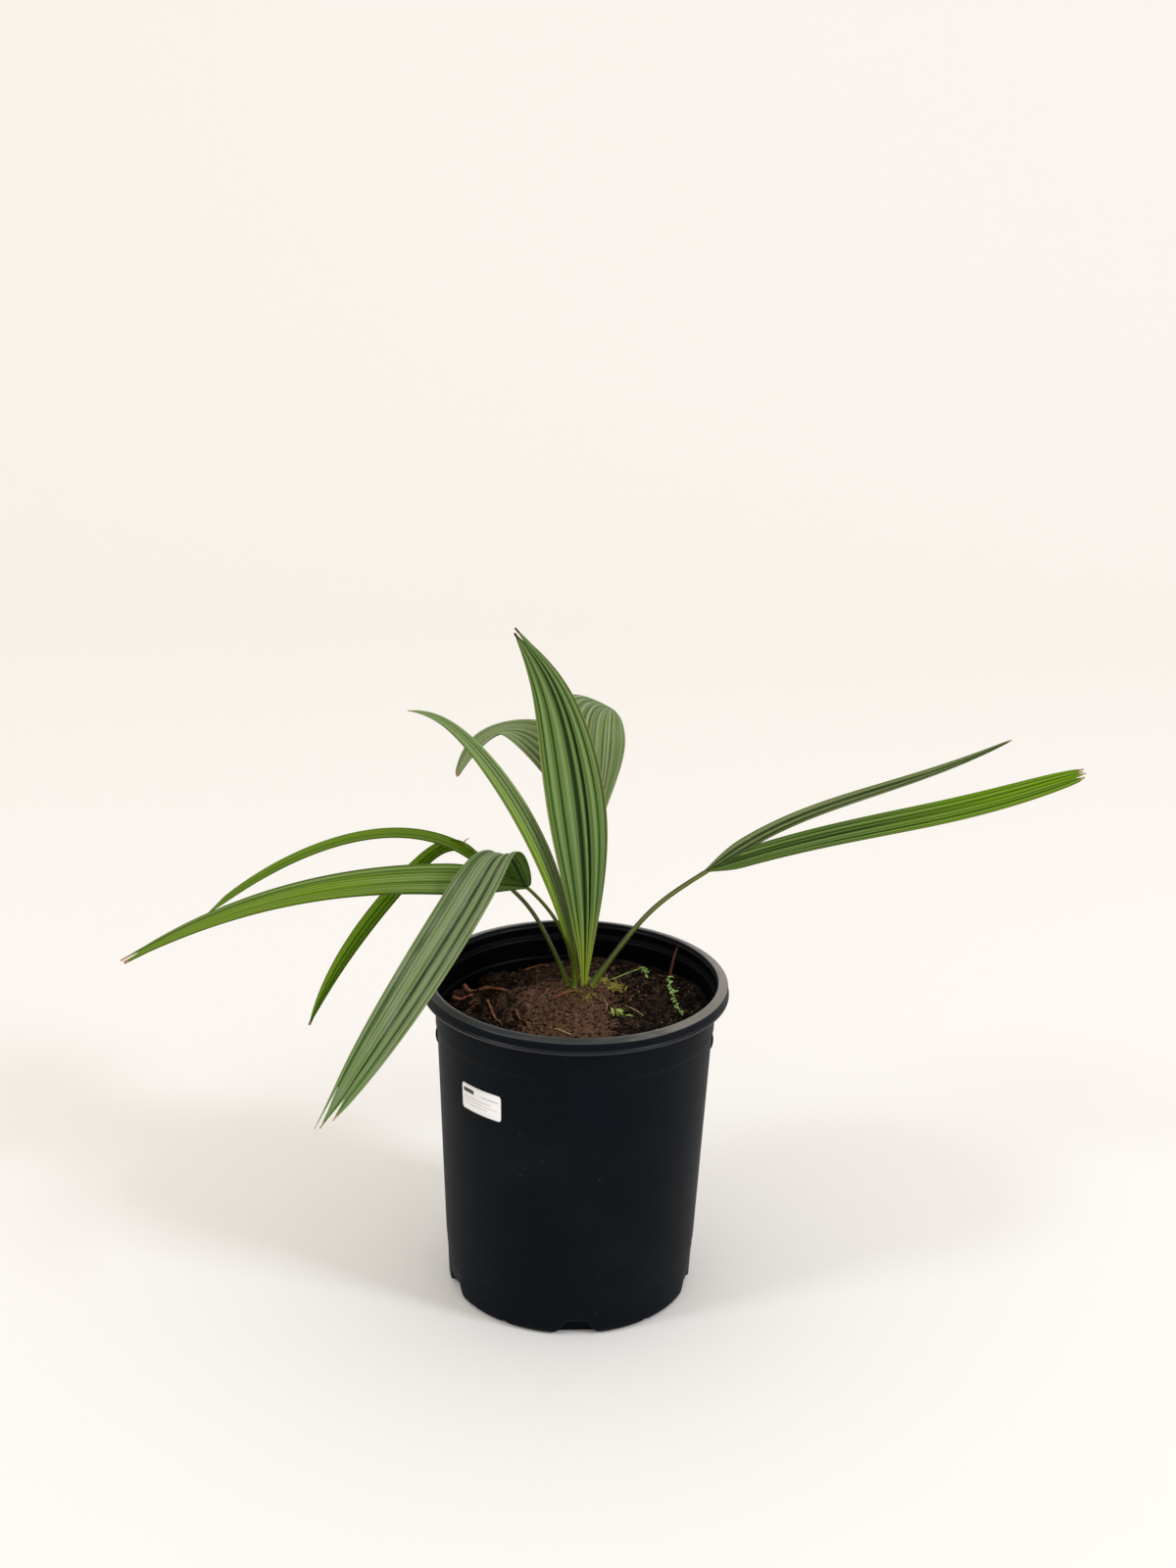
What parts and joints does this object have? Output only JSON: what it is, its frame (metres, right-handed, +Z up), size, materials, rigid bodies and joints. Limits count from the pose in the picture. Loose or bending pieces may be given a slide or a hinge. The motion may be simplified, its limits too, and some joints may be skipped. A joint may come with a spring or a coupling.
{
  "type": "potted dwarf palmetto",
  "caption": "Young dwarf palmetto with pleated, two-lobed strap leaves on thin stalks, growing from a short stem in a round nursery pot of soil.",
  "frame": {"origin": "centre of the pot's flat underside", "axes": "+Z up the pot's axis, -Y toward the front where the long leaves part left and right, +X along the leaves' longest spread"},
  "size_m": [0.6924, 0.2402, 0.4984],
  "materials": {
    "pot": "satin, faintly scuffed black moulded plastic",
    "soil": "moist dark potting mix of peat and bark crumbs",
    "blade": "satin leaf surface with fine lengthwise veins",
    "stalk": "smooth green leaf stalk",
    "crown": "pale yellow-green leaf bases in brown sheath fibres",
    "label": "smooth white coated paper"
  },
  "bodies": {
    "root": {"pot": "pot", "soil": "soil", "crown": "crown", "label": "label", "stalk_front": "stalk", "stalk_left": "stalk", "stalk_right": "stalk", "stalk_back": "stalk", "leaf_upright_broad": "blade", "leaf_upright_narrow": "blade", "leaf_back_right_root": "blade", "leaf_back_right_tip": "blade", "leaf_back_left_root": "blade", "leaf_back_left_tip": "blade", "leaf_front_hanging_root": "blade", "leaf_front_hanging_tip": "blade", "leaf_front_long": "blade", "leaf_left_arching_root": "blade", "leaf_left_arching_tip": "blade", "leaf_left_hanging_root": "blade", "leaf_left_hanging_tip": "blade", "leaf_right_upper": "blade", "leaf_right_lower": "blade"}
  },
  "joints": []
}
